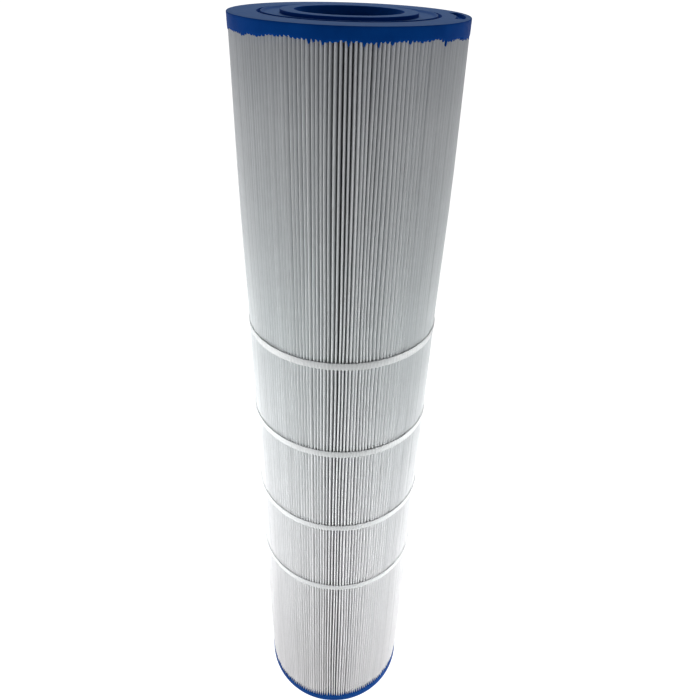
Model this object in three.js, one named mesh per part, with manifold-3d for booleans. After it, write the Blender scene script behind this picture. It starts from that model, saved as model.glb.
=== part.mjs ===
// Pleated filter cartridge for a pool or spa filter housing.
// Millimetres, +Z up. The origin is the centre of the lower sealing face, and the axis is +Z.
import * as THREE from 'three';
import { mergeVertices } from 'three/addons/utils/BufferGeometryUtils.js';
import Module from 'manifold-3d';

const wasm = await Module();
wasm.setup();

// ---- Driving dimensions ----
const LENGTH = 828;             // between the two sealing faces
const CAP_R = 89.7;             // end cap outside radius
const BORE_R = 38.1;            // 3 inch opening in each end cap
const FIT_GAP = 0.3;            // clearance between pieces that touch

// End cap, with depths measured down from the flat rim plane
const COLLAR_RISE = 1.4;        // sealing collar above the rim
const COLLAR_OUTER_R = 52;
const BORE_ROUND = 3;           // rounded mouth of the bore
const COLLAR_ROUND = 0.8;
const RECESS_DEPTH = 1.3;       // shallow dish between the collar and the rim
const GROOVE_R = 66.7;          // V groove where the dish meets the rim
const GROOVE_DEPTH = 3.0;
const GROOVE_HALF_WIDTH = 1.5;
const RIM_ROUND = 1.5;
const CAP_DEPTH = 12;           // rim plane to the edge of the skirt
const TROUGH_DEPTH = 6.5;       // rim plane to the floor that the pleat ends sit on
const SKIRT_WALL = 1.1;
const LIP_WALL = 1.3;           // lip that lines the end of the core
const CAP_SEGMENTS = 48;

// Shallow arc recess in the upper rim
const MARK_INNER_R = 78.5;
const MARK_OUTER_R = 85;
const MARK_DEPTH = 1.6;
const MARK_CENTRE = THREE.MathUtils.degToRad(-2);
const MARK_SPAN = THREE.MathUtils.degToRad(32);

// Pleated media: one sheet folded back and forth, its two free edges side by side at the seam
const PLEATS = 177;
const SHEET = 0.4;
const CORE_CLEARANCE = 0.4;
const SEAM_GAP_ANGLE = THREE.MathUtils.degToRad(2.4);
const SEAM_ANGLE = THREE.MathUtils.degToRad(1.2);
const SEAM_INNER_R = 58;
const SEAM_CENTRE = Math.PI / 2;

// Core: identical lattice tubes, each with a spigot above and a socket below
const CORE_SECTIONS = 4;
const CORE_OUTER_R = 44.4;
const CORE_INNER_R = 41;
const SPIGOT_HEIGHT = 8;
const WINDOW_COLUMNS = 8;
const WINDOW_ROWS = 5;
const WINDOW_WIDTH = 27;
const HOOP = 6;                 // height of the solid hoop between two rows of windows
const CORE_SEGMENTS = 2 * WINDOW_COLUMNS;

// Bands around the pleat tips, each given by the depth of its upper edge below the top
const BAND_DEPTHS = [256, 359, 464.3, 566.5];
const BAND_HEIGHT = 7;
const BAND_WALL = 1.1;
const BAND_SEGMENTS = 48;

// ---- Derived sizes ----
const INNER_SKIRT_R = CAP_R - SKIRT_WALL;
const MEDIA_R = INNER_SKIRT_R * Math.cos(Math.PI / CAP_SEGMENTS) - FIT_GAP;
const MEDIA_INNER_R = CORE_OUTER_R + CORE_CLEARANCE;
const SEAT = COLLAR_RISE + TROUGH_DEPTH + FIT_GAP;   // end face of the pleats and the core
const SEATED_LENGTH = LENGTH - 2 * SEAT;

// ---- Materials ----
const urethane = new THREE.MeshStandardMaterial({ color: 0x0b3a78, roughness: 0.42, metalness: 0 });
const spunbond = new THREE.MeshStandardMaterial({ color: 0xe9ebee, roughness: 0.9, metalness: 0 });
const corePlastic = new THREE.MeshStandardMaterial({ color: 0xd9dce0, roughness: 0.55, metalness: 0 });
const bandPlastic = new THREE.MeshStandardMaterial({ color: 0xf2f4f6, roughness: 0.4, metalness: 0 });
const glue = new THREE.MeshStandardMaterial({ color: 0xe4e0d4, roughness: 0.35, metalness: 0 });

// ---- Solid helpers ----
function toManifold(geometry) {
  const bare = geometry.clone();
  bare.deleteAttribute('normal');
  bare.deleteAttribute('uv');
  const merged = mergeVertices(bare, 1e-4);
  return new wasm.Manifold(new wasm.Mesh({
    numProp: 3,
    vertProperties: new Float32Array(merged.attributes.position.array),
    triVerts: new Uint32Array(merged.index.array),
  }));
}

function fromManifold(solid) {
  const mesh = solid.getMesh();
  const geometry = new THREE.BufferGeometry();
  geometry.setAttribute('position', new THREE.BufferAttribute(mesh.vertProperties, 3));
  geometry.setIndex(new THREE.BufferAttribute(mesh.triVerts, 1));
  geometry.computeVertexNormals();
  return geometry;
}

// A ring about +Z from a closed outline of [radius, height] corners, listed anticlockwise.
function ring(outline, segments) {
  const points = [...outline, outline[0]].map(([r, z]) => new THREE.Vector2(r, z));
  const geometry = new THREE.LatheGeometry(points, segments);
  geometry.rotateX(Math.PI / 2);
  return geometry;
}

// Corners of a rounded edge about a centre, from one angle to another in degrees.
function roundEdge(r, z, radius, from, to, steps = 2) {
  const corners = [];
  for (let i = 0; i <= steps; i++) {
    const angle = THREE.MathUtils.degToRad(from + ((to - from) * i) / steps);
    corners.push([r + radius * Math.cos(angle), z + radius * Math.sin(angle)]);
  }
  return corners;
}

function extrude(shape, height) {
  return new THREE.ExtrudeGeometry(shape, { depth: height, steps: 1, bevelEnabled: false });
}

// ---- End caps ----
// The upper cap, with its rim plane at z = 0: collar, dish, groove, rim, skirt, trough and lip.
function capOutline() {
  return [
    [BORE_R + LIP_WALL, -CAP_DEPTH],
    [BORE_R + LIP_WALL, -TROUGH_DEPTH],
    [INNER_SKIRT_R, -TROUGH_DEPTH],
    [INNER_SKIRT_R, -CAP_DEPTH],
    [CAP_R, -CAP_DEPTH],
    ...roundEdge(CAP_R - RIM_ROUND, -RIM_ROUND, RIM_ROUND, 0, 90),
    [GROOVE_R + GROOVE_HALF_WIDTH, 0],
    [GROOVE_R, -GROOVE_DEPTH],
    [GROOVE_R - GROOVE_HALF_WIDTH, -RECESS_DEPTH],
    [COLLAR_OUTER_R, -RECESS_DEPTH],
    ...roundEdge(COLLAR_OUTER_R - COLLAR_ROUND, COLLAR_RISE - COLLAR_ROUND, COLLAR_ROUND, 0, 90, 1),
    ...roundEdge(BORE_R + BORE_ROUND, COLLAR_RISE - BORE_ROUND, BORE_ROUND, 90, 180),
    [BORE_R, -CAP_DEPTH],
  ];
}

// An arc-shaped prism that cuts the recess in the upper rim.
function markCutter() {
  const shape = new THREE.Shape();
  shape.absarc(0, 0, MARK_OUTER_R, -MARK_SPAN / 2, MARK_SPAN / 2, false);
  shape.absarc(0, 0, MARK_INNER_R, MARK_SPAN / 2, -MARK_SPAN / 2, true);
  const outline = new THREE.Shape(shape.getPoints(4));
  const geometry = extrude(outline, 2 * MARK_DEPTH);
  geometry.rotateZ(MARK_CENTRE);
  geometry.translate(0, 0, -MARK_DEPTH);
  return geometry;
}

function topCap() {
  const solid = toManifold(ring(capOutline(), CAP_SEGMENTS)).subtract(toManifold(markCutter()));
  const mesh = new THREE.Mesh(fromManifold(solid), urethane);
  mesh.name = 'top_end_cap';
  mesh.position.z = LENGTH - COLLAR_RISE;
  return mesh;
}

function bottomCap() {
  const mesh = new THREE.Mesh(ring(capOutline(), CAP_SEGMENTS), urethane);
  mesh.name = 'bottom_end_cap';
  mesh.rotation.x = Math.PI;
  mesh.position.z = COLLAR_RISE;
  return mesh;
}

// ---- Pleated media ----
// A point on a fold's leg: at a radius, and to one side of the leg's middle.
function legPoint(angle, radius, side) {
  const cos = Math.cos(angle);
  const sin = Math.sin(angle);
  return new THREE.Vector2(radius * cos - side * sin, radius * sin + side * cos);
}

function mediaOutline() {
  const legs = 2 * PLEATS;
  const step = (2 * Math.PI - SEAM_GAP_ANGLE) / (legs - 1);
  const angleOf = (leg) => SEAM_CENTRE + SEAM_GAP_ANGLE / 2 + leg * step;
  const half = SHEET / 2;
  const points = [];
  for (let leg = 0; leg < legs; leg++) {
    const side = leg % 2 === 0 ? half : -half;
    const ends = [MEDIA_R, MEDIA_INNER_R + SHEET];
    const order = leg % 2 === 0 ? ends : ends.reverse();
    order.forEach((radius) => points.push(legPoint(angleOf(leg), radius, side)));
  }
  for (let leg = legs - 1; leg >= 0; leg--) {
    const side = leg % 2 === 0 ? -half : half;
    const freeEdge = leg === 0 || leg === legs - 1;
    const ends = [freeEdge ? MEDIA_R : MEDIA_R - SHEET, MEDIA_INNER_R];
    const order = leg % 2 === 0 ? ends.reverse() : ends;
    order.forEach((radius) => points.push(legPoint(angleOf(leg), radius, side)));
  }
  return points;
}

function pleatedMedia() {
  const mesh = new THREE.Mesh(extrude(new THREE.Shape(mediaOutline()), SEATED_LENGTH), spunbond);
  mesh.name = 'pleated_media';
  mesh.position.z = SEAT;
  return mesh;
}

// The bead of glue that joins the sheet's two free edges along the whole length.
function mediaSeam() {
  const inner = SEAM_INNER_R * Math.tan(SEAM_ANGLE / 2);
  const outer = MEDIA_R * Math.tan(SEAM_ANGLE / 2);
  const shape = new THREE.Shape([
    new THREE.Vector2(-inner, SEAM_INNER_R),
    new THREE.Vector2(inner, SEAM_INNER_R),
    new THREE.Vector2(outer, MEDIA_R),
    new THREE.Vector2(-outer, MEDIA_R),
  ]);
  const mesh = new THREE.Mesh(extrude(shape, SEATED_LENGTH), glue);
  mesh.name = 'media_seam';
  mesh.position.z = SEAT;
  mesh.rotation.z = SEAM_CENTRE - Math.PI / 2;
  return mesh;
}

// ---- Core ----
const SECTION_PITCH = (SEATED_LENGTH - SPIGOT_HEIGHT) / CORE_SECTIONS;
const JOINT_R = (CORE_OUTER_R + CORE_INNER_R) / 2;   // middle of the clearance in a joint

// One tube section standing on z = 0: socket below, spigot above.
function sectionOutline() {
  const shoulder = SECTION_PITCH - FIT_GAP;
  const socketTop = SPIGOT_HEIGHT + FIT_GAP;
  return [
    [JOINT_R + FIT_GAP / 2, 0],
    [CORE_OUTER_R, 0],
    [CORE_OUTER_R, shoulder],
    [JOINT_R - FIT_GAP / 2, shoulder],
    [JOINT_R - FIT_GAP / 2, SECTION_PITCH + SPIGOT_HEIGHT - FIT_GAP],
    [CORE_INNER_R, SECTION_PITCH + SPIGOT_HEIGHT - FIT_GAP],
    [CORE_INNER_R, socketTop],
    [JOINT_R + FIT_GAP / 2, socketTop],
  ];
}

function coreSectionGeometry() {
  const firstRow = SPIGOT_HEIGHT + FIT_GAP + HOOP;
  const rowPitch = (SECTION_PITCH - FIT_GAP - firstRow) / WINDOW_ROWS;
  let solid = toManifold(ring(sectionOutline(), CORE_SEGMENTS));
  for (let column = 0; column < WINDOW_COLUMNS; column++) {
    for (let row = 0; row < WINDOW_ROWS; row++) {
      const cutter = new THREE.BoxGeometry(4 * (CORE_OUTER_R - CORE_INNER_R), WINDOW_WIDTH, rowPitch - HOOP);
      cutter.translate(JOINT_R, 0, firstRow + row * rowPitch + (rowPitch - HOOP) / 2);
      cutter.rotateZ((2 * Math.PI * column) / WINDOW_COLUMNS);
      solid = solid.subtract(toManifold(cutter));
    }
  }
  return fromManifold(solid);
}

function coreSections() {
  const group = new THREE.Group();
  const geometry = coreSectionGeometry();
  for (let i = 0; i < CORE_SECTIONS; i++) {
    const mesh = new THREE.Mesh(geometry, corePlastic);
    mesh.name = `core_section_${i + 1}`;
    mesh.position.z = SEAT + i * SECTION_PITCH;
    group.add(mesh);
  }
  return group;
}

// ---- Bands ----
function bands() {
  const group = new THREE.Group();
  const outline = [
    [INNER_SKIRT_R, 0],
    [INNER_SKIRT_R + BAND_WALL, 0],
    [INNER_SKIRT_R + BAND_WALL, BAND_HEIGHT],
    [INNER_SKIRT_R, BAND_HEIGHT],
  ];
  BAND_DEPTHS.forEach((depth, i) => {
    const mesh = new THREE.Mesh(ring(outline, BAND_SEGMENTS), bandPlastic);
    mesh.name = `band_${i + 1}`;
    mesh.position.z = LENGTH - depth - BAND_HEIGHT;
    group.add(mesh);
  });
  return group;
}

const cartridge = new THREE.Group();
cartridge.add(topCap());
cartridge.add(bottomCap());
cartridge.add(pleatedMedia());
cartridge.add(mediaSeam());
cartridge.add(coreSections());
cartridge.add(bands());

export default cartridge;
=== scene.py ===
"""Looks of a pleated pool filter cartridge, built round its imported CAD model.

Metres, +Z up, the cartridge's axis on +Z and its front towards -Y.
"""

import math

import bmesh
import bpy
import numpy as np
from mathutils import Matrix, Vector


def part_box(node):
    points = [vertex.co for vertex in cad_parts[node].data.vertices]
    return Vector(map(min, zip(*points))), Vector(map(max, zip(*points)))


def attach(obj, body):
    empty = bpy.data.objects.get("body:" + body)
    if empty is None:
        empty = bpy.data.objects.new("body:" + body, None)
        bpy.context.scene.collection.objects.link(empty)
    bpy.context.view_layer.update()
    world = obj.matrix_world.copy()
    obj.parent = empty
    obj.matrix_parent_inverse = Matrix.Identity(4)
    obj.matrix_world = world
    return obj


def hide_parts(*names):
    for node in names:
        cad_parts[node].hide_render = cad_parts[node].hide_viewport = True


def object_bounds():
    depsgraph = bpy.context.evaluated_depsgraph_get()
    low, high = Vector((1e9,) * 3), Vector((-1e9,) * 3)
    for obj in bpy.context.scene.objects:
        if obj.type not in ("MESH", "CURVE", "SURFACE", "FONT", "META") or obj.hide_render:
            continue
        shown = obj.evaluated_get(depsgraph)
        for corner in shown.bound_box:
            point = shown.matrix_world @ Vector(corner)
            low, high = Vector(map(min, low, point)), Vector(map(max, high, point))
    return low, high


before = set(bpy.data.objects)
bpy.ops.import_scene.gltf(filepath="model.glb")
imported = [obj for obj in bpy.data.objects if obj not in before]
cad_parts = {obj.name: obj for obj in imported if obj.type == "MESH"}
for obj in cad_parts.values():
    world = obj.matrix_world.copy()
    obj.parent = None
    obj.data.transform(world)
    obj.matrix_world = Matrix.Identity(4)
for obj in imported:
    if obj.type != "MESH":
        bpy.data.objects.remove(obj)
cad_box = [list(corner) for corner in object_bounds()]

MM = 0.001
BODY = "root"

# ---- Places read from the CAD frame ----
CAP_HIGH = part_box("top_end_cap")[1]
MEDIA_LOW, MEDIA_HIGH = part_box("pleated_media")
CORE_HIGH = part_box("core_section_1")[1]
BAND_NAMES = [f"band_{i}" for i in range(1, 5)]
CORE_NAMES = [f"core_section_{i}" for i in range(1, 5)]

CAP_R = CAP_HIGH.x
TOP_Z = CAP_HIGH.z
MEDIA_BOTTOM = MEDIA_LOW.z
MEDIA_TOP = MEDIA_HIGH.z
CORE_OUTER_R = CORE_HIGH.x

# ---- Sizes of the moulded and folded details ----
PLEATS = 177
SHEET = 0.45 * MM               # thickness of the folded cloth
ROOT_R = CORE_OUTER_R + 0.65 * MM
TIP_R = CAP_R - 0.55 * MM       # middle of the pleat tips
TIP_HALF = 0.42 * MM            # half width of a rounded pleat tip
FLANK_HALF = 0.86 * MM          # half width of a pleat just behind its tip
FLANK_DEPTH = 3.0 * MM          # how far behind the tip that width is measured
MID_LEG_R = 72 * MM             # where each leg of a pleat sways a little
BULGE = 0.9 * MM                # how far the long unbanded spans swell
SEAM_ANGLE = math.pi / 2        # where the sheet's free edges meet
SEAM_GAP = math.radians(2.4)

COLLAR_RISE = 1.4 * MM
RIM_TOP = TOP_Z - COLLAR_RISE
RIM_BOTTOM = COLLAR_RISE

# ---- Camera, given from the cartridge's axis and its upper rim ----
CAMERA_BACK = 506.6 * MM
CAMERA_RISE = 41.7 * MM
CAMERA_PITCH = 0.59422
CAMERA_YAW = 0.01736
CAMERA_ROLL = 0.03339
CAMERA_LENS = 30.906

# ---- Studio ----
FLOOR_BACK = 1.04               # glow of the floor behind the cartridge
FLOOR_FRONT = 0.4               # and in front of it
FLOOR_TONE = 0.4                # how much of the lights the floor gives back
FLOOR_HALF = 40                 # half its side: past the horizon of any view
FLOOR_DROP = 0.2 * MM           # how far it lies under the cartridge
WORLD_WALL = 0.35
WORLD_CEILING = 0.12
WORLD_FRONT_SHARE = 0.45
LEFT_POWER = 0.94
RIGHT_POWER = 1.12
FRONT_POWER = 0.06
FRONT_LEFT_POWER = 0.22
TOP_POWER = 3.6
GRID = 105                      # spread of the low softboxes, in degrees


# ---------------------------------------------------------------- numbers
def blur(field, width, axis=0):
    """Gaussian blur that wraps round, with the deviation brought back to one."""
    frequency = np.fft.rfftfreq(field.shape[axis])
    gain = np.exp(-2 * (np.pi * frequency * width) ** 2)
    gain[0] = 0
    shape = [1] * field.ndim
    shape[axis] = -1
    spectrum = np.fft.rfft(field, axis=axis) * gain.reshape(shape)
    out = np.fft.irfft(spectrum, n=field.shape[axis], axis=axis)
    return out / out.std()


def ease(t):
    """Smooth step from 0 to 1."""
    t = np.clip(t, 0, 1)
    return t * t * (3 - 2 * t)


class Pleats:
    """Where each pleat tip stands at any height: evenly spaced, then nudged as real folds are."""

    STATIONS = 96

    def __init__(self, seed):
        rng = np.random.default_rng(seed)
        shape = (PLEATS, self.STATIONS)
        self.step = (2 * math.pi - SEAM_GAP) / (2 * PLEATS - 1)
        tips = np.arange(PLEATS)
        self.nominal = SEAM_ANGLE + SEAM_GAP / 2 + (2 * tips - 0.5) * self.step
        self.nominal[0] = SEAM_ANGLE
        own = rng.standard_normal(PLEATS)
        group = blur(rng.standard_normal(PLEATS), 3.0)
        self.still = (0.17 * own + 0.2 * group) * MM
        drift = blur(blur(rng.standard_normal(shape), 1.6), 8.0, axis=1)
        ripple = blur(rng.standard_normal(shape), 4.0, axis=1)
        self.drift = (0.3 * drift + 0.09 * ripple) * MM
        self.depth = (0.16 * rng.standard_normal(PLEATS)[:, None]
                      + 0.14 * blur(blur(rng.standard_normal(shape), 1.0), 7.0, axis=1)) * MM
        self.width = 1 + 0.1 * rng.standard_normal(PLEATS)
        for values in (self.still, self.drift, self.depth):
            values[0] = 0
        self.holds = [MEDIA_BOTTOM, MEDIA_TOP]
        self.holds += [sum(c.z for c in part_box(name)) / 2 for name in BAND_NAMES]

    def along(self, field, z):
        """A field's value for each pleat at height z."""
        place = (z - MEDIA_BOTTOM) / (MEDIA_TOP - MEDIA_BOTTOM) * (self.STATIONS - 1)
        place = min(max(place, 0), self.STATIONS - 1.001)
        low = int(place)
        return field[:, low] * (low + 1 - place) + field[:, low + 1] * (place - low)

    def angles(self, z):
        """Angle of each tip's middle, rising from the seam."""
        nearest = min(abs(z - hold) for hold in self.holds)
        loose = 0.45 + 0.55 * ease(nearest / (35 * MM))
        return self.nominal + (self.still + loose * self.along(self.drift, z)) / TIP_R

    def radii(self, z):
        """Radius of each tip's outside."""
        nearest = min(abs(z - hold) for hold in self.holds)
        loose = ease(nearest / (18 * MM))
        bulge = BULGE * ease(nearest / (120 * MM))
        return TIP_R + bulge + self.along(self.depth, z) * (0.35 + 0.65 * loose)


def ring_angles(tip_angles, parts):
    """Angles round the whole cartridge, with each pitch from tip to tip cut into equal parts."""
    following = np.append(tip_angles[1:], tip_angles[0] + 2 * math.pi)
    share = np.arange(parts) / parts
    return (tip_angles[:, None] + (following - tip_angles)[:, None] * share).ravel()


def ring_share(parts):
    """For the same angles, how far each lies from its nearest tip: 0 on it, 1 midway."""
    share = np.arange(parts) / parts
    return np.tile(np.minimum(share, 1 - share) * 2, PLEATS)


# ---------------------------------------------------------------- meshes
def add_piece(name, points, faces, material, replaced, sharp=50):
    """A closed mesh as a named piece that stands for its CAD nodes."""
    mesh = bpy.data.meshes.new(name)
    mesh.from_pydata(points, [], faces)
    work = bmesh.new()
    work.from_mesh(mesh)
    bmesh.ops.recalc_face_normals(work, faces=work.faces)
    work.to_mesh(mesh)
    work.free()
    mesh.polygons.foreach_set("use_smooth", [True] * len(mesh.polygons))
    mesh.set_sharp_from_angle(angle=math.radians(sharp))
    mesh.materials.append(material)
    piece = bpy.data.objects.new(name, mesh)
    bpy.context.scene.collection.objects.link(piece)
    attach(piece, BODY)
    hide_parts(*replaced)
    return piece


def join_rings(first, second):
    """Faces between two closed rings of point numbers. One may be a whole number of times finer."""
    if len(first) > len(second):
        return [face[::-1] for face in join_rings(second, first)]
    count = len(first)
    times = len(second) // count
    faces = []
    for i in range(count):
        after = (i + 1) % count
        fine = [second[(i * times + k) % len(second)] for k in range(times, -1, -1)]
        faces.append([first[i], first[after], *fine])
    return faces


def revolve(rings):
    """Points and faces of a closed body from (angles, radii, heights) rings, joined end to end."""
    points = []
    numbers = []
    for angles, radii, heights in rings:
        radii = np.broadcast_to(radii, angles.shape)
        heights = np.broadcast_to(heights, angles.shape)
        start = sum(len(ring) for ring in numbers)
        numbers.append(range(start, start + len(angles)))
        points.append(np.stack([radii * np.cos(angles), radii * np.sin(angles), heights], axis=1))
    faces = []
    for first, second in zip(numbers, numbers[1:] + numbers[:1]):
        faces += join_rings(first, second)
    return np.concatenate(points), faces


def arc(r, z, radius, start, end, steps):
    """Corners (r, z) of a rounded edge about a centre, between two angles in degrees."""
    turns = [math.radians(start + (end - start) * i / steps) for i in range(steps + 1)]
    return [(r + radius * math.cos(a), z + radius * math.sin(a)) for a in turns]


# ---------------------------------------------------------------- materials
def new_material(name):
    """A node material with its Principled shader, and a helper that adds nodes to it."""
    material = bpy.data.materials.new(name)
    material.use_nodes = True
    tree = material.node_tree
    shader = tree.nodes["Principled BSDF"]

    def add(kind, links=(), **values):
        node = tree.nodes.new(kind)
        for key, value in values.items():
            if key in node.inputs:
                node.inputs[key].default_value = value
            else:
                setattr(node, key, value)
        for key, socket in links:
            tree.links.new(socket, node.inputs[key])
        return node

    return material, tree, shader, add


def noise(add, place, scale, detail=2.0, roughness=0.5):
    """Fractal noise at a scale given per metre."""
    node = add("ShaderNodeTexNoise", [("Vector", place)])
    node.inputs["Scale"].default_value = scale
    node.inputs["Detail"].default_value = detail
    node.inputs["Roughness"].default_value = roughness
    return node.outputs["Fac"]


def ramp(add, value, stops):
    """A colour ramp through (position, grey or colour) stops."""
    node = add("ShaderNodeValToRGB", [("Fac", value)])
    elements = node.color_ramp.elements
    while len(elements) < len(stops):
        elements.new(0.5)
    for element, (position, colour) in zip(elements, stops):
        element.position = position
        element.color = (*colour, 1) if hasattr(colour, "__len__") else (colour,) * 3 + (1,)
    return node.outputs["Color"]


def stretch(add, place, scale):
    """The same place with its axes scaled, for streaks and fibres."""
    node = add("ShaderNodeMapping", [("Vector", place)])
    node.inputs["Scale"].default_value = scale
    return node.outputs["Vector"]


def bump(add, height, strength, distance, normal=None):
    """The surface normal tilted by a height, on top of an earlier normal if one is given."""
    links = [("Height", height)] + ([("Normal", normal)] if normal else [])
    node = add("ShaderNodeBump", links)
    node.inputs["Strength"].default_value = strength
    node.inputs["Distance"].default_value = distance
    return node.outputs["Normal"]


def mix_colour(add, factor, first, second, blend="MIX"):
    """Two colours blended; each input is a socket or a plain value."""
    node = add("ShaderNodeMix", data_type="RGBA", blend_type=blend)
    for socket, value in ((0, factor), (6, first), (7, second)):
        if isinstance(value, bpy.types.NodeSocket):
            node.id_data.links.new(value, node.inputs[socket])
        else:
            node.inputs[socket].default_value = value
    return node.outputs[2]


def spunbond_material():
    """White spunbond polyester: matted fibres, faint streaks, and painted shade that darkens it towards
    the top.
    """
    material, tree, shader, add = new_material("spunbond_polyester")
    place = add("ShaderNodeTexCoord").outputs["Object"]
    streaks = noise(add, stretch(add, place, (420, 420, 9)), 1.0, 3.0)
    mottling = noise(add, place, 160, 4.0, 0.6)
    fibres = noise(add, stretch(add, place, (2600, 2600, 700)), 1.0, 3.0, 0.7)
    crossed = noise(add, stretch(add, place, (900, 900, 3400)), 1.0, 2.0, 0.7)
    base = ramp(add, streaks, [(0.3, (0.835, 0.845, 0.85)), (0.7, (0.905, 0.91, 0.915))])
    worn = ramp(add, mottling, [(0.3, 0.955), (0.7, 1.0)])
    colour = mix_colour(add, 1.0, base, worn, "MULTIPLY")
    # painted shade: the cloth's colour is multiplied darker towards its top, standing in for the dimmer
    # light there
    height = add("ShaderNodeSeparateXYZ", [(0, place)]).outputs["Z"]
    painted_top_shade = ramp(add, height, [
        (0.0, (1.0, 0.985, 0.99)), (0.35, (0.98, 0.985, 0.99)), (0.60, (0.955, 0.985, 0.99)),
        (0.76, (0.91, 0.925, 0.94)), (0.815, (0.78, 0.795, 0.82)),
    ])
    colour = mix_colour(add, 1.0, colour, painted_top_shade, "MULTIPLY")
    tree.links.new(colour, shader.inputs["Base Color"])
    shader.inputs["Roughness"].default_value = 0.82
    shader.inputs["Specular IOR Level"].default_value = 0.25
    shader.inputs["Sheen Weight"].default_value = 0.12
    shader.inputs["Sheen Roughness"].default_value = 0.5
    coarse = bump(add, mottling, 0.25, 0.15 * MM)
    matted = bump(add, fibres, 0.35, 0.06 * MM, coarse)
    normal = bump(add, crossed, 0.3, 0.05 * MM, matted)
    tree.links.new(normal, shader.inputs["Normal"])
    return material


def urethane_material():
    """Blue cast urethane: dark blue walls, a painted highlight of paler blue on the level moulded faces,
    painted shade at the foot, fine pores.
    """
    material, tree, shader, add = new_material("blue_urethane")
    place = add("ShaderNodeTexCoord").outputs["Object"]
    clouds = noise(add, place, 55, 3.0)
    colour = ramp(add, clouds, [(0.3, (0.001, 0.048, 0.26)), (0.7, (0.002, 0.063, 0.32))])
    # painted highlight: level faces near each cap's rim plane are mixed to a paler blue, standing in for
    # the light on them
    facing = add("ShaderNodeSeparateXYZ", [(0, add("ShaderNodeTexCoord").outputs["Normal"])])
    level = add("ShaderNodeMath", [(0, facing.outputs["Z"])], operation="ABSOLUTE").outputs[0]
    painted_rim_highlight = ramp(add, level, [(0.75, 0.0), (0.97, 1.0)])
    height = add("ShaderNodeSeparateXYZ", [(0, place)]).outputs["Z"]
    middle = (RIM_TOP + RIM_BOTTOM) / 2
    from_middle = add("ShaderNodeMath", [(0, height)], operation="SUBTRACT")
    from_middle.inputs[1].default_value = middle
    away = add("ShaderNodeMath", [(0, from_middle.outputs[0])], operation="ABSOLUTE").outputs[0]
    shallow = add("ShaderNodeMapRange", [("Value", away)])
    shallow.inputs["From Min"].default_value = RIM_TOP - middle - 2.1 * MM
    shallow.inputs["From Max"].default_value = RIM_TOP - middle - 1.7 * MM
    painted_rim_highlight = mix_colour(add, shallow.outputs["Result"], (0, 0, 0, 1), painted_rim_highlight)
    # painted shade: the colour is darker within 5 cm of the floor, at the lower cap's foot
    painted_foot_shade = ramp(add, height, [(0.0, (0.85, 0.98, 0.85)), (0.05, (1.0, 1.0, 1.0))])
    colour = mix_colour(add, 1.0, colour, painted_foot_shade, "MULTIPLY")
    # mix in the painted highlight's paler blue
    colour = mix_colour(add, painted_rim_highlight, colour, (0.08, 0.16, 0.37, 1))
    tree.links.new(colour, shader.inputs["Base Color"])
    skin = noise(add, place, 240, 3.0, 0.6)
    gloss = ramp(add, skin, [(0.3, 0.44), (0.7, 0.56)])
    tree.links.new(gloss, shader.inputs["Roughness"])
    shader.inputs["Specular IOR Level"].default_value = 0.012
    pores = add("ShaderNodeTexVoronoi", [("Vector", place)])
    pores.inputs["Scale"].default_value = 420
    pits = ramp(add, pores.outputs["Distance"], [(0.06, 0.0), (0.14, 1.0)])
    wavy = bump(add, clouds, 0.25, 0.5 * MM)
    grain = bump(add, noise(add, place, 1500, 2.0), 0.12, 0.05 * MM, wavy)
    normal = bump(add, pits, 0.25, 0.08 * MM, grain)
    tree.links.new(normal, shader.inputs["Normal"])
    return material


def band_material():
    """Milky band plastic, laid soft: satin with small lumps."""
    material, tree, shader, add = new_material("band_plastic")
    place = add("ShaderNodeTexCoord").outputs["Object"]
    lumps = noise(add, place, 380, 3.0)
    colour = ramp(add, lumps, [(0.3, (0.66, 0.685, 0.69)), (0.7, (0.74, 0.76, 0.765))])
    tree.links.new(colour, shader.inputs["Base Color"])
    shader.inputs["Roughness"].default_value = 0.42
    shader.inputs["Subsurface Weight"].default_value = 0.15
    shader.inputs["Subsurface Radius"].default_value = (1.2, 1.2, 1.2)
    shader.inputs["Subsurface Scale"].default_value = 1 * MM
    normal = bump(add, lumps, 0.35, 0.25 * MM)
    tree.links.new(normal, shader.inputs["Normal"])
    return material


def core_material():
    """Pale moulded core plastic with faint flow streaks along the tube."""
    material, tree, shader, add = new_material("core_plastic")
    place = add("ShaderNodeTexCoord").outputs["Object"]
    flow = noise(add, stretch(add, place, (90, 90, 14)), 1.0, 3.0)
    colour = ramp(add, flow, [(0.3, (0.60, 0.63, 0.66)), (0.7, (0.67, 0.69, 0.72))])
    tree.links.new(colour, shader.inputs["Base Color"])
    texture = noise(add, place, 900, 2.0)
    gloss = ramp(add, texture, [(0.3, 0.36), (0.7, 0.48)])
    tree.links.new(gloss, shader.inputs["Roughness"])
    normal = bump(add, texture, 0.12, 0.06 * MM)
    tree.links.new(normal, shader.inputs["Normal"])
    return material


def glue_material():
    """Set hot-melt glue: amber-white, glossy and a little lumpy."""
    material, tree, shader, add = new_material("seam_glue")
    place = add("ShaderNodeTexCoord").outputs["Object"]
    lumps = noise(add, place, 130, 3.0)
    colour = ramp(add, lumps, [(0.3, (0.70, 0.67, 0.58)), (0.7, (0.80, 0.78, 0.71))])
    tree.links.new(colour, shader.inputs["Base Color"])
    shader.inputs["Roughness"].default_value = 0.28
    shader.inputs["Subsurface Weight"].default_value = 0.3
    shader.inputs["Subsurface Scale"].default_value = 1 * MM
    normal = bump(add, lumps, 0.4, 0.4 * MM)
    tree.links.new(normal, shader.inputs["Normal"])
    return material


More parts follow.
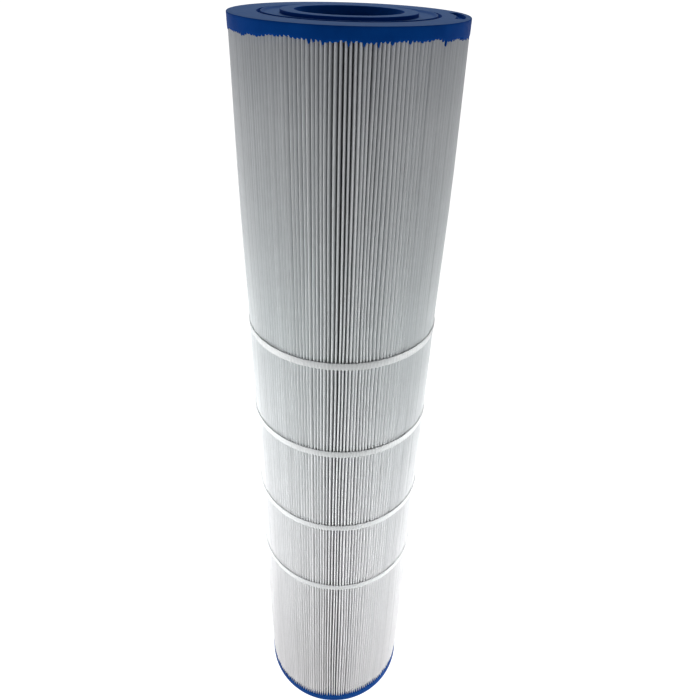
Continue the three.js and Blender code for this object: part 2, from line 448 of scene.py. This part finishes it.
# ---------------------------------------------------------------- pleated media
def media_heights():
    """Heights of the rows of points: close at the bands and the caps, wider between."""
    stops = [MEDIA_BOTTOM, MEDIA_TOP]
    heights = [MEDIA_BOTTOM, MEDIA_TOP]
    for name in BAND_NAMES:
        low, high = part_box(name)
        stops += [low.z, high.z]
        heights += [low.z - 1 * MM, high.z + 1 * MM]
    stops.sort()
    for low, high in zip(stops[::2], stops[1::2]):
        count = max(2, round((high - low) / (42 * MM)))
        heights += [low + (high - low) * (i + 0.5) / count for i in range(count)]
    return sorted(heights)


def polar(radius, angle, aside):
    """Points at a radius and angle, moved sideways at right angles to that radius."""
    cos = np.cos(angle)
    sin = np.sin(angle)
    return np.stack([radius * cos - aside * sin, radius * sin + aside * cos], axis=-1)


def fold_line(pleats, z, bulge):
    """The middle line of the folded sheet at height z, from one free edge round to the other."""
    tip_angle = pleats.angles(z)
    tip_radius = pleats.radii(z) - SHEET / 2
    legs = np.arange(2 * PLEATS)
    root = polar(ROOT_R + SHEET / 2, SEAM_ANGLE + SEAM_GAP / 2 + legs * pleats.step, 0)
    depth = np.array([FLANK_DEPTH, TIP_HALF, 0, TIP_HALF, FLANK_DEPTH])
    aside = np.array([-FLANK_HALF, -TIP_HALF, 0, TIP_HALF, FLANK_HALF])
    fold = polar(tip_radius[:, None] - depth, tip_angle[:, None], pleats.width[:, None] * aside)
    edge = polar(TIP_R - 0.4 * MM, SEAM_ANGLE + SEAM_GAP / 2 * np.array([1, -1]), 0)
    share = (MID_LEG_R - ROOT_R) / (TIP_R - ROOT_R)
    line = []
    for valley in range(PLEATS):
        down, up = 2 * valley, 2 * valley + 1
        above_down = edge[0] if valley == 0 else fold[valley, -1]
        above_up = edge[1] if valley == PLEATS - 1 else fold[valley + 1, 0]
        if valley == 0:
            line.append(edge[0])
        line.append(root[down] + (above_down - root[down]) * share + bulge[down])
        line += [root[down], root[up]]
        line.append(root[up] + (above_up - root[up]) * share + bulge[up])
        line += [edge[1]] if valley == PLEATS - 1 else list(fold[valley + 1])
    return np.array(line)


def offset_sides(line):
    """The two faces of the sheet, half its thickness to each side of its middle line."""
    run = np.diff(line, axis=0)
    run /= np.linalg.norm(run, axis=1)[:, None]
    right = np.stack([run[:, 1], -run[:, 0]], axis=1)
    normal = np.concatenate([right[:1], right[:-1] + right[1:], right[-1:]])
    normal /= np.linalg.norm(normal, axis=1)[:, None]
    return line + normal * SHEET / 2, line - normal * SHEET / 2


def build_media(pleats, material):
    """The whole folded sheet as one closed ribbon of real thickness."""
    rng = np.random.default_rng(41)
    sway = 0.1 * MM * rng.standard_normal((2 * PLEATS, 2))
    heights = media_heights()
    rows = []
    for z in heights:
        outer, inner = offset_sides(fold_line(pleats, z, sway))
        loop = np.concatenate([outer, inner[::-1]])
        rows.append(np.column_stack([loop, np.full(len(loop), z)]))
    points = np.concatenate(rows)
    around = len(rows[0])
    side = around // 2
    faces = []
    for row in range(len(heights) - 1):
        start = row * around
        for i in range(around):
            after = (i + 1) % around
            faces.append((start + i, start + after, start + around + after, start + around + i))
    for start in (0, (len(heights) - 1) * around):
        for i in range(side - 1):
            faces.append((start + i, start + i + 1, start + around - 2 - i, start + around - 1 - i))
    piece = add_piece("pleated_cloth", points, faces, material, ["pleated_media"], 65)
    spread = float(np.linalg.norm(np.diff(fold_line(pleats, heights[0], sway), axis=0), axis=1).sum())
    return piece


def build_seam(material):
    """The glue bead between the sheet's free edges: a thin blade with a lumpy outer lip."""
    rng = np.random.default_rng(7)
    count = 120
    heights = np.linspace(MEDIA_BOTTOM, MEDIA_TOP, count)
    lump = blur(rng.standard_normal(count), 2.0)
    half_angle = SEAM_GAP / 2
    outline = [(60, 0.35), (TIP_R / MM - 1.2, 0.62), (TIP_R / MM - 0.4, 0.66), (TIP_R / MM, 0.4)]
    section = [(r * MM, s) for r, s in outline] + [(r * MM, -s) for r, s in outline[::-1]]
    rows = []
    for z, swell in zip(heights, lump):
        out = [(r + (0.16 * swell * MM if r > TIP_R - 1 * MM else 0), s) for r, s in section]
        flat = [polar(r, SEAM_ANGLE + s * half_angle, 0) for r, s in out]
        rows.append([(x, y, z) for x, y in flat])
    points = [point for row in rows for point in row]
    size = len(section)
    faces = [tuple(range(size)), tuple(range((count - 1) * size, count * size))]
    for row in range(count - 1):
        numbers = range(row * size, (row + 1) * size)
        faces += join_rings(numbers, [n + size for n in numbers])
    return add_piece("seam_glue_bead", points, faces, material, ["media_seam"], 40)


# ---------------------------------------------------------------- end caps
# Heights inside a cap are counted down from its flat rim plane, in millimetres.
BORE_R = 38.1
LIP_R = 39.4
COLLAR_TOP = 1.4
COLLAR_R = 51.2
DISH = -1.3
GROOVE_R = 66.7
MARK_SPAN = math.radians(32)
MARK_ANGLE = math.radians(-2)
MARK_R = (78.5, 85.0)
MARK_WAIST_R = 80.0             # the recess is narrower than this at its middle
MARK_DEPTH = 2.4
COARSE = 2                      # points per pleat pitch on the moulded top
FINE = 8                        # points per pleat pitch along the ragged edge
UPPER_SKIRT = 9.0               # how far the urethane reaches along the pleats at each end
LOWER_SKIRT = 11.2
UPPER_DRIPS = (0.6, 0.9)        # least height of the drips in the gaps, and what chance adds
LOWER_DRIPS = (2.6, 3.4)
UPPER_GAP = 0.9                 # how far the drips lie behind the cap's wall
LOWER_GAP = 1.7
POTTING_RISE = 0.6              # how much more of it stands between the pleats
SKIRT_TILT = 1.3                # more of it on the +X side, less on the other
WALL_START = -3.4               # depth where the skirt's plain wall begins
TUCK = 0.35                     # how far the edge turns in behind the wall
MENISCUS = (2.9, 6.0)           # how far behind the wall the potting starts, and is level


def moulded_outline():
    """Corners (r, z) of the moulded face, from inside the bore to the top of the skirt."""
    rim = [(r, 0.0) for r in (69.0, 72.0, 75.5, 78.2, 78.8, 81.7, 84.7, 85.3, 86.8)]
    return [
        (LIP_R, -12.0),
        *arc(BORE_R + 0.6, -11.4, 0.6, 270, 180, 3),
        (BORE_R, -5.5), (BORE_R + 0.5, -3.6), (BORE_R + 1.5, -1.2),
        *arc(BORE_R + 3.1, COLLAR_TOP - 0.8, 0.8, 165, 90, 4),
        (44.5, COLLAR_TOP), (48.0, COLLAR_TOP),
        *arc(COLLAR_R - 0.5, COLLAR_TOP - 0.5, 0.5, 90, 0, 4),
        (COLLAR_R, DISH + 0.5),
        *arc(COLLAR_R + 0.4, DISH + 0.4, 0.4, 180, 270, 3),
        (56.0, DISH), (60.8, DISH), (62.6, DISH + 0.3), (63.8, 0.0),
        *arc(GROOVE_R - 1.8, -0.1, 0.5, 110, 10, 3),
        *arc(GROOVE_R, -2.6, 0.5, 200, 340, 4),
        *arc(GROOVE_R + 1.5, -0.3, 0.3, 170, 90, 2),
        *rim,
        *arc(CAP_R / MM - 0.7, -0.7, 0.7, 90, 0, 4),
        (CAP_R / MM, -2.6),
    ]


def mark_drop(angles, radius):
    """How far the shallow arc recess lowers the rim at these angles, in millimetres."""
    off = np.abs((angles - MARK_ANGLE + math.pi) % (2 * math.pi) - math.pi)
    inside = 1 - ease((off - MARK_SPAN / 2) / math.radians(1.0) + 0.5)
    if radius < MARK_WAIST_R:
        inside = inside * ease(off / math.radians(2.5) - 1)
    return MARK_DEPTH * inside if MARK_R[0] < radius < MARK_R[1] else 0 * angles


def ragged_edge(rng, depth, drips, aside):
    """Height of the urethane's lower edge: wavy from tip to tip, with drips down the gaps."""
    level = 0.7 * blur(rng.standard_normal(PLEATS), 6.0) + 0.85 * blur(rng.standard_normal(PLEATS), 1.3)
    level += 0.3 * rng.standard_normal(PLEATS)
    share = np.arange(FINE) / FINE
    following = np.roll(level, -1)
    between = (level[:, None] + (following - level)[:, None] * share).ravel()
    drip = drips[0] + drips[1] * rng.random(PLEATS)
    drip += (0.8 + 1.6 * rng.random(PLEATS)) * (rng.random(PLEATS) < 0.3)
    return -depth + between - np.repeat(drip, FINE) * ease((aside - 0.15) / 0.8)


def cap_rings(pleats, seed, top):
    """The rings of one cap, counted from its rim plane in metres."""
    media_end = MEDIA_TOP if top else MEDIA_BOTTOM
    depth = UPPER_SKIRT if top else LOWER_SKIRT
    drips = UPPER_DRIPS if top else LOWER_DRIPS
    gap = UPPER_GAP if top else LOWER_GAP
    rng = np.random.default_rng(seed)
    tips = pleats.angles(media_end)
    tip_radius = np.repeat(pleats.radii(media_end), FINE)
    fine = ring_angles(tips, FINE)
    coarse = fine[::FINE // COARSE]
    aside = ring_share(FINE)
    rings = []
    for radius, height in moulded_outline():
        drop = mark_drop(coarse, radius) if top else 0
        rings.append((coarse, radius * MM, (height - drop) * MM))
    edge = ragged_edge(rng, depth, drips, aside) - SKIRT_TILT * np.cos(fine)
    between = ease((aside - 0.35) / 0.5)
    edge_radius = tip_radius * (1 - between) + (CAP_R - gap * MM) * between + 0.03 * MM
    for share in (0.0, 0.3, 0.6, 0.8, 0.9, 0.96, 1.0):
        height = WALL_START + (edge - WALL_START) * share
        radius = CAP_R + (edge_radius - CAP_R) * ease((share - 0.8) / 0.4)
        rings.append((fine, radius, height * MM))
    tucked = edge_radius - TUCK * MM
    rings.append((fine, tucked, (edge + 0.12) * MM))
    potting = -(depth + POTTING_RISE) * MM
    rings.append((fine, CAP_R - MENISCUS[0] * MM, (edge + 0.3) * MM * 0.5 + potting * 0.5))
    rings.append((coarse, CAP_R - MENISCUS[1] * MM, potting))
    rings.append((coarse, (LIP_R + 0.1) * MM, potting))
    return rings


def build_cap(name, pleats, material, seed, top):
    """A cast end cap. The lower one is the upper one turned over, with its own ragged edge."""
    points, faces = revolve(cap_rings(pleats, seed, top))
    points[:, 2] = RIM_TOP + points[:, 2] if top else RIM_BOTTOM - points[:, 2]
    node = "top_end_cap" if top else "bottom_end_cap"
    return add_piece(name, points, faces, material, [node], 42)


# ---------------------------------------------------------------- bands
BAND_BACK = 0.75 * MM           # how far the band's inside lies behind the caps' wall
BAND_THICK = 0.85 * MM
BAND_CORNER = 0.3 * MM
BAND_PARTS = 6                  # points per pleat pitch


def build_band(node, pleats, material, seed):
    """A band laid soft round the tips: rounded edges, a slight dip over each gap, small nubs below."""
    rng = np.random.default_rng(seed)
    low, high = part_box(node)
    middle = (low.z + high.z) / 2
    parts = BAND_PARTS
    angles = ring_angles(pleats.angles(middle), parts)
    aside = ring_share(parts)
    slow = blur(rng.standard_normal(PLEATS), 14.0)
    wave = 0.22 * MM * np.interp(np.arange(PLEATS * parts) / parts, np.arange(PLEATS), slow)
    nub = np.roll(np.repeat(np.abs(rng.standard_normal(PLEATS)), parts), parts // 2)
    nub = 0.38 * MM * nub * np.clip(1 - aside * 1.5, 0, 1)
    lift = 0.12 * MM * np.roll(np.repeat(rng.standard_normal(PLEATS), parts), parts // 2)
    dip = 0.16 * MM * ease(aside)
    inner = CAP_R - BAND_BACK
    top_z, bottom_z = high.z + wave, low.z + wave
    corner = BAND_CORNER
    face = inner + BAND_THICK - dip
    rings = [
        (angles, inner, bottom_z + corner - nub),
        (angles, face - 0.4 * MM, bottom_z - nub),
        (angles, face - 0.1 * MM + nub * 0.4, bottom_z + corner * 0.4 - nub),
        (angles, face + nub * 0.4, bottom_z + corner * 1.4),
        (angles, face + 0.04 * MM, middle + wave),
        (angles, face, top_z - corner * 0.9),
        (angles, face - 0.08 * MM, top_z - corner * 0.25 + lift * 0.4),
        (angles, face - 0.3 * MM, top_z + lift * 0.5),
        (angles, inner, top_z - corner * 0.5),
    ]
    points, faces = revolve(rings)
    return add_piece(f"{node}_strap", points, faces, material, [node], 60)


# ---------------------------------------------------------------- core
CORE_COLUMNS = 8
CORE_ROWS = 5
CORE_WALL = 3.4 * MM
WINDOW_WIDTH = 27 * MM
HOOP = 6 * MM
SPIGOT = 8 * MM
JOINT_GAP = 0.3 * MM
CORE_BEVEL = 0.5 * MM


def core_levels(low, high):
    """Heights where a section's shape changes, and those of its window openings."""
    shoulder = high - SPIGOT
    first = low + SPIGOT + JOINT_GAP + HOOP
    pitch = (shoulder - first) / CORE_ROWS
    windows = [(first + row * pitch, first + (row + 1) * pitch - HOOP) for row in range(CORE_ROWS)]
    return [low, low + SPIGOT + JOINT_GAP, shoulder, high], windows


def core_angles():
    """Angles round the tube, and for each step whether it lies in a window column."""
    half = math.asin(WINDOW_WIDTH / 2 / (CORE_OUTER_R - CORE_WALL / 2))
    pitch = 2 * math.pi / CORE_COLUMNS
    angles, is_window = [], []
    for column in range(CORE_COLUMNS):
        start = column * pitch
        across = np.linspace(start - half, start + half, 9)[:-1]
        stave = np.linspace(start + half, start + pitch - half, 4)[:-1]
        angles += [*across, *stave]
        is_window += [True] * len(across) + [False] * len(stave)
    return np.array(angles), is_window


def solid_cell(height, layer, in_window, low, high, windows):
    """Whether a section has plastic at this height, wall layer and column."""
    if height < low + SPIGOT + JOINT_GAP:
        return layer == 2
    if height > high - SPIGOT:
        return layer == 0
    inside = any(bottom < height < top for bottom, top in windows)
    return not (in_window and inside)


def build_core_section(node, low, high):
    """Points and faces of one lattice tube with its socket and spigot."""
    edges, windows = core_levels(low, high)
    levels = sorted(edges + [z for window in windows for z in window])
    angles, is_window = core_angles()
    middle = CORE_OUTER_R - CORE_WALL / 2
    radii = [CORE_OUTER_R - CORE_WALL, middle - JOINT_GAP / 2, middle + JOINT_GAP / 2, CORE_OUTER_R]
    count = len(angles)

    def number(i, j, k):
        return ((i % count) * len(levels) + j) * len(radii) + k

    def filled(i, j, k):
        if not (0 <= j < len(levels) - 1 and 0 <= k < len(radii) - 1):
            return False
        height = (levels[j] + levels[j + 1]) / 2
        return solid_cell(height, k, is_window[i % count], low, high, windows)

    points = [(r * math.cos(a), r * math.sin(a), z) for a in angles for z in levels for r in radii]
    faces = []
    for i in range(count):
        for j in range(len(levels) - 1):
            for k in range(len(radii) - 1):
                if not filled(i, j, k):
                    continue
                for axis, step in ((0, -1), (0, 1), (1, -1), (1, 1), (2, -1), (2, 1)):
                    beside = [i, j, k]
                    beside[axis] += step
                    if filled(*beside):
                        continue
                    fixed = [i, j, k]
                    fixed[axis] += max(step, 0)
                    first, second = [a for a in range(3) if a != axis]
                    quad = []
                    for du, dv in ((0, 0), (1, 0), (1, 1), (0, 1)):
                        corner = list(fixed)
                        corner[first] += du
                        corner[second] += dv
                        quad.append(number(*corner))
                    faces.append(quad)
    return drop_unused(points, faces)


def drop_unused(points, faces):
    """The same faces with only the points that they use."""
    used = sorted({n for face in faces for n in face})
    renumber = {old: new for new, old in enumerate(used)}
    return [points[n] for n in used], [[renumber[n] for n in face] for face in faces]


def build_core(material):
    """The four joined lattice tubes, with softened edges."""
    points, faces = [], []
    for node in CORE_NAMES:
        low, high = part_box(node)
        more, sides = build_core_section(node, low.z, high.z)
        faces += [[n + len(points) for n in side] for side in sides]
        points += more
    piece = add_piece("core_lattice", points, faces, material, CORE_NAMES, 35)
    bevel = piece.modifiers.new("softened_edges", "BEVEL")
    bevel.width = CORE_BEVEL
    bevel.segments = 2
    bevel.limit_method = "ANGLE"
    bevel.angle_limit = math.radians(50)
    return piece


# ---------------------------------------------------------------- studio
def add_camera():
    """The camera close to the upper rim, looking down the length of the cartridge."""
    place = Vector((0, -CAMERA_BACK, RIM_TOP + CAMERA_RISE))
    level = math.cos(CAMERA_PITCH)
    forward = Vector((math.sin(CAMERA_YAW) * level, math.cos(CAMERA_YAW) * level, -math.sin(CAMERA_PITCH)))
    right = forward.cross(Vector((0, 0, 1))).normalized()
    up = right.cross(forward)
    turn = Matrix.Rotation(-CAMERA_ROLL, 3, forward)
    right, up = turn @ right, turn @ up
    camera = bpy.data.objects.new("camera", bpy.data.cameras.new("camera"))
    camera.data.sensor_width = 36
    camera.data.lens = CAMERA_LENS
    camera.data.clip_start = 0.01
    axes = Matrix((right, up, -forward)).transposed().to_4x4()
    camera.matrix_world = Matrix.Translation(place) @ axes
    bpy.context.scene.collection.objects.link(camera)
    bpy.context.scene.camera = camera


def add_floor():
    """A plain near-white floor, lit from within like a sweep: full white behind, dimmer in front."""
    material, tree, shader, add = new_material("studio_floor")
    place = add("ShaderNodeTexCoord").outputs["Object"]
    forward = add("ShaderNodeSeparateXYZ", [(0, place)]).outputs["Y"]
    glow = add("ShaderNodeMapRange", [("Value", forward)], interpolation_type="SMOOTHSTEP")
    limits = {"From Min": -0.9, "From Max": 0.1, "To Min": FLOOR_FRONT, "To Max": FLOOR_BACK}
    for key, value in limits.items():
        glow.inputs[key].default_value = value
    shader.inputs["Base Color"].default_value = (FLOOR_TONE, FLOOR_TONE, FLOOR_TONE, 1)
    shader.inputs["Roughness"].default_value = 0.9
    shader.inputs["Emission Color"].default_value = (1, 1, 1, 1)
    tree.links.new(glow.outputs["Result"], shader.inputs["Emission Strength"])
    mesh = bpy.data.meshes.new("floor")
    corners = [(x * FLOOR_HALF, y * FLOOR_HALF, 0) for x, y in ((-1, -1), (1, -1), (1, 1), (-1, 1))]
    mesh.from_pydata(corners, [], [(0, 1, 2, 3)])
    mesh.materials.append(material)
    floor = bpy.data.objects.new("floor", mesh)
    floor.location.z = cad_box[0][2] - FLOOR_DROP
    bpy.context.scene.collection.objects.link(floor)


def add_world():
    """A white wall behind that fades towards the front and overhead."""
    world = bpy.data.worlds.new("studio")
    bpy.context.scene.world = world
    world.use_nodes = True
    tree = world.node_tree
    background = tree.nodes["Background"]
    place = tree.nodes.new("ShaderNodeTexCoord")
    split = tree.nodes.new("ShaderNodeSeparateXYZ")
    tree.links.new(place.outputs["Generated"], split.inputs[0])

    def fade(axis, low, high, start, end):
        node = tree.nodes.new("ShaderNodeMapRange")
        node.interpolation_type = "SMOOTHSTEP"
        tree.links.new(split.outputs[axis], node.inputs["Value"])
        for key, value in (("From Min", low), ("From Max", high), ("To Min", start), ("To Max", end)):
            node.inputs[key].default_value = value
        return node.outputs["Result"]

    product = tree.nodes.new("ShaderNodeMath")
    product.operation = "MULTIPLY"
    tree.links.new(fade("Z", 0.15, 0.75, WORLD_WALL, WORLD_CEILING), product.inputs[0])
    tree.links.new(fade("Y", -0.5, 0.4, WORLD_FRONT_SHARE, 1.0), product.inputs[1])
    tree.links.new(product.outputs[0], background.inputs["Strength"])
    background.inputs["Color"].default_value = (1, 1, 1, 1)


def add_softbox(name, place, target, size, power, spread=180):
    """A rectangular area light aimed at a point, with a grid where its spread is under 180 degrees."""
    light = bpy.data.lights.new(name, "AREA")
    light.shape = "RECTANGLE"
    light.size, light.size_y = size
    light.energy = power
    light.spread = math.radians(spread)
    lamp = bpy.data.objects.new(name, light)
    lamp.location = place
    lamp.rotation_euler = (Vector(target) - Vector(place)).to_track_quat("-Z", "Y").to_euler()
    bpy.context.scene.collection.objects.link(lamp)


def add_lights():
    """Low softboxes at the sides and in front, so that the foot is brighter than the top."""
    add_softbox("left_softbox", (-0.52, -0.14, 0.36), (0, 0, 0.36), (0.3, 0.4), LEFT_POWER, GRID)
    add_softbox("right_softbox", (0.52, -0.14, 0.3), (0, 0, 0.3), (0.3, 0.4), RIGHT_POWER, GRID)
    add_softbox("front_softbox", (0, -0.6, 0.36), (0, 0, 0.4), (0.3, 0.3), FRONT_POWER, GRID)
    add_softbox("front_left_softbox", (-0.35, -0.5, 0.36), (0, 0, 0.4), (0.3, 0.3), FRONT_LEFT_POWER, GRID)
    add_softbox("top_softbox", (0, 0.4, 1.6), (0, 0, 0.83), (0.5, 0.5), TOP_POWER)


add_camera()
add_floor()
add_world()
add_lights()

pleats = Pleats(seed=20)
cloth = spunbond_material()
urethane = urethane_material()
strap_plastic = band_material()
build_core(core_material())
build_media(pleats, cloth)
build_seam(glue_material())
build_cap("upper_cap_casting", pleats, urethane, seed=3, top=True)
build_cap("lower_cap_casting", pleats, urethane, seed=8, top=False)
for index, band_node in enumerate(BAND_NAMES):
    build_band(band_node, pleats, strap_plastic, seed=60 + index)

bpy.context.scene.view_settings.view_transform = "Standard"
